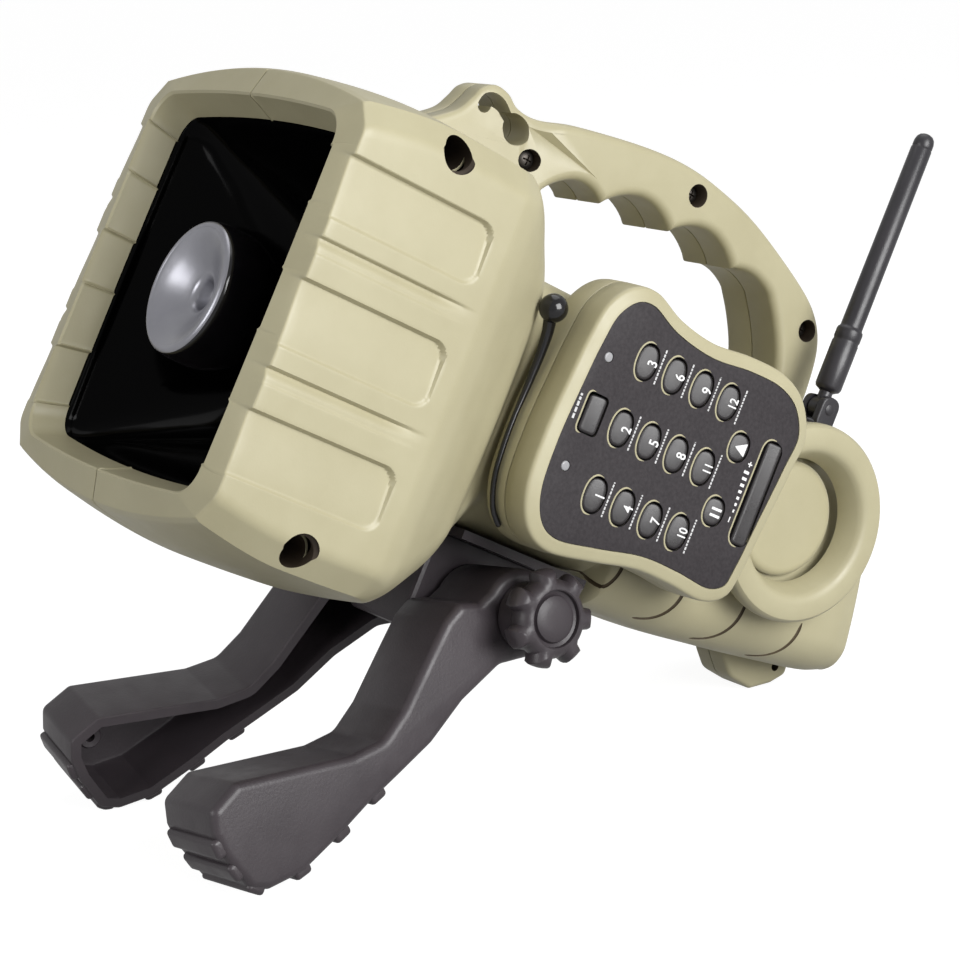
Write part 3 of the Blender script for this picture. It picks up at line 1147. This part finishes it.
def make_post():
    profile = [(0, 39.9), (15.4, 39.9), (16.6, 39.75), (17.6, 39.3), (18.2, 38.6), (18.3, 37.9), (18.3, 37.3),
               (0, 37.3)]
    post = turned("remote_post_turned", profile, KHAKI, (0, *LOOP), "X", 80)
    done(post, "body", "khaki_plastic", "remote_post")


# ---------------------------------------------------------------- battery door

def make_battery_door():
    def side_x(z):
        return 37.0 * (1 - CROWN * ((z - 5.5) / 38.5) ** 2)

    outline = box_outline((145.0, 1.5), (57.6, 50.6), 1.4, 5)
    rows = []
    for depth, shrink in ((0.18, 0.7), (0.22, 0.35), (0.4, 0.1), (0.8, 0), (3.0, 0)):
        rows.append([(-(side_x(z) - depth), y, z) for y, z in inset(outline, shrink)])
    door = loft("battery_door_shell", rows, KHAKI, 30)
    grip = box_outline((145.0, 19.5), (17.0, 6.0), 2.6, 6)
    cutters = [slab("grip", grip, ((-40, -0.6), (-36.0, 0), (-35.6, 0.5)), KHAKI)]
    for i in range(5):
        line = box_outline((145.0, -15.0 + 3.4 * i), (26.0, 0.9), 0.4, 3)
        cutters.append(slab("rib", line, ((-40, 0), (-36.05, 0)), KHAKI))
    carve(door, cutters)
    done(door, "battery_door", "khaki_plastic", "battery_door")


CAD_PAINTS = (
    (RUBBER, ("horn_gasket",)),
    (FERRITE, ("driver_magnet",)),
    (HOLDER, ("battery_holder",)),
    (WIRE, ("speaker_lead",)),
    (DARK, ("leg_bracket",)),
    (STEEL, ("horn_driver", "pivot_bolt_right", "pivot_bolt_left")),
    (BOARD, ("amp_board", "receiver_board", "remote_board")),
    (SLEEVE, ("battery_1", "battery_2", "battery_3", "battery_4", "remote_battery")),
)


def paint_cad():
    """Every CAD piece left in view, or inside, gets its detailed material."""
    for paint, nodes in CAD_PAINTS:
        for name in nodes:
            for slot in frame["nodes"][name].material_slots:
                slot.link = "OBJECT"
                slot.material = paint


# ---------------------------------------------------------------- camera, floor and light

def camera():
    data = bpy.data.cameras.new("camera")
    data.sensor_width = 36.0
    data.lens = 93.75
    data.clip_start, data.clip_end = 0.01, 20.0
    eye = bpy.data.objects.new("camera", data)
    bpy.context.scene.collection.objects.link(eye)
    right, down, ahead = ((0.549, 0.749, 0.370), (0.177, 0.329, -0.928), (-0.817, 0.575, 0.048))
    turn = TILT.to_3x3()
    x = (turn @ Vector(right)).normalized()
    z = -(turn @ Vector(ahead)).normalized()
    y = z.cross(x).normalized()
    x = y.cross(z)
    rotation = Matrix((x, y, z)).transposed()
    eye.matrix_world = Matrix.Translation(BODY @ Vector((622.0, -318.6, -53.1))) @ rotation.to_4x4()
    bpy.context.scene.camera = eye
    bpy.context.scene.view_settings.view_transform = "Standard"


def area_light(name, at, aim, size, power):
    data = bpy.data.lights.new(name, "AREA")
    data.shape = "RECTANGLE"
    data.size, data.size_y = size
    data.energy = power
    lamp = bpy.data.objects.new(name, data)
    lamp.location = at
    lamp.rotation_mode = "QUATERNION"
    lamp.rotation_quaternion = (Vector(aim) - Vector(at)).to_track_quat("-Z", "Y")
    bpy.context.scene.collection.objects.link(lamp)


def lit_by_ray(tree, source, camera_level, glossy_level, diffuse_level):
    """A brightness for what the camera sees, what gloss reflects and what lights the object."""
    rays = tree.nodes.new("ShaderNodeLightPath")
    steps = []
    for ray, level in (("Is Diffuse Ray", diffuse_level), ("Is Glossy Ray", glossy_level)):
        share = tree.nodes.new("ShaderNodeMapRange")
        dial(share, {"To Min": 1.0, "To Max": level / camera_level})
        tree.links.new(rays.outputs[ray], share.inputs["Value"])
        steps.append(share)
    both = tree.nodes.new("ShaderNodeMath")
    both.operation = "MULTIPLY"
    tree.links.new(steps[0].outputs["Result"], both.inputs[0])
    tree.links.new(steps[1].outputs["Result"], both.inputs[1])
    whole = tree.nodes.new("ShaderNodeMath")
    whole.operation = "MULTIPLY"
    whole.inputs[1].default_value = camera_level
    tree.links.new(both.outputs["Value"], whole.inputs[0])
    tree.links.new(whole.outputs["Value"], source)


def studio():
    """A white sweep: it looks bright, but throws little light back up, as the photograph's cut-out does."""
    world = bpy.data.worlds.new("studio")
    world.use_nodes = True
    tree = world.node_tree
    background = tree.nodes["Background"]
    background.inputs["Color"].default_value = (1.0, 1.0, 1.0, 1)
    lit_by_ray(tree, background.inputs["Strength"], 1.0, 0.6, 0.16)
    bpy.context.scene.world = world
    work = bmesh.new()
    bmesh.ops.create_grid(work, x_segments=8, y_segments=8, size=9.0)
    mesh = bpy.data.meshes.new("floor")
    work.to_mesh(mesh)
    work.free()
    floor = bpy.data.objects.new("floor", mesh)
    floor.location = (0, 0, -0.0006)
    bpy.context.scene.collection.objects.link(floor)
    paint, tree, shader = shader_tools("floor_white")
    tint = ramp(tree, noise(tree, 2.0).outputs["Fac"], (0.24, 0.24, 0.24), (0.25, 0.25, 0.25))
    tree.links.new(tint, shader.inputs["Base Color"])
    dial(shader, {"Roughness": 0.9, "Specular IOR Level": 0.1, "Emission Color": (1, 1, 1, 1)})
    lit_by_ray(tree, shader.inputs["Emission Strength"], 0.93, 0.4, 0.04)
    mesh.materials.append(paint)
    area_light("key", (1.15, 0.2, 0.52), (0, 0, 0.1), (0.8, 0.8), 20.5)
    area_light("top", (-0.2, 0.35, 1.3), (0, 0, 0.1), (1.0, 1.0), 4.5)
    area_light("front", (0.1, -1.2, 0.5), (0, 0, 0.1), (0.6, 0.6), 5.4)


camera()
studio()
for half in (1, -1):
    finish_housing(half)
    make_handle(half)
    make_leg(half)
    make_knob(half)
for index, sign in enumerate((1, -1)):
    screw(f"hood_screw_{index + 1}", (0, HOOD_SCREW[0], sign * HOOD_SCREW[1]), 4.0, 1.7, -12.0, 10.0,
          f"housing_screw_{index + 1}")
for index, (y, z) in enumerate(HANDLE_SCREWS):
    screw(f"grip_screw_{index + 1}", (0, y, z), 2.9, 1.4, -7.6, 8.0, f"handle_screw_{index + 1}")
make_horn()
make_antenna()
make_remote_shells()
make_label()
make_collars()
make_keys()
make_remote_whip()
make_post()
make_battery_door()
paint_cad()
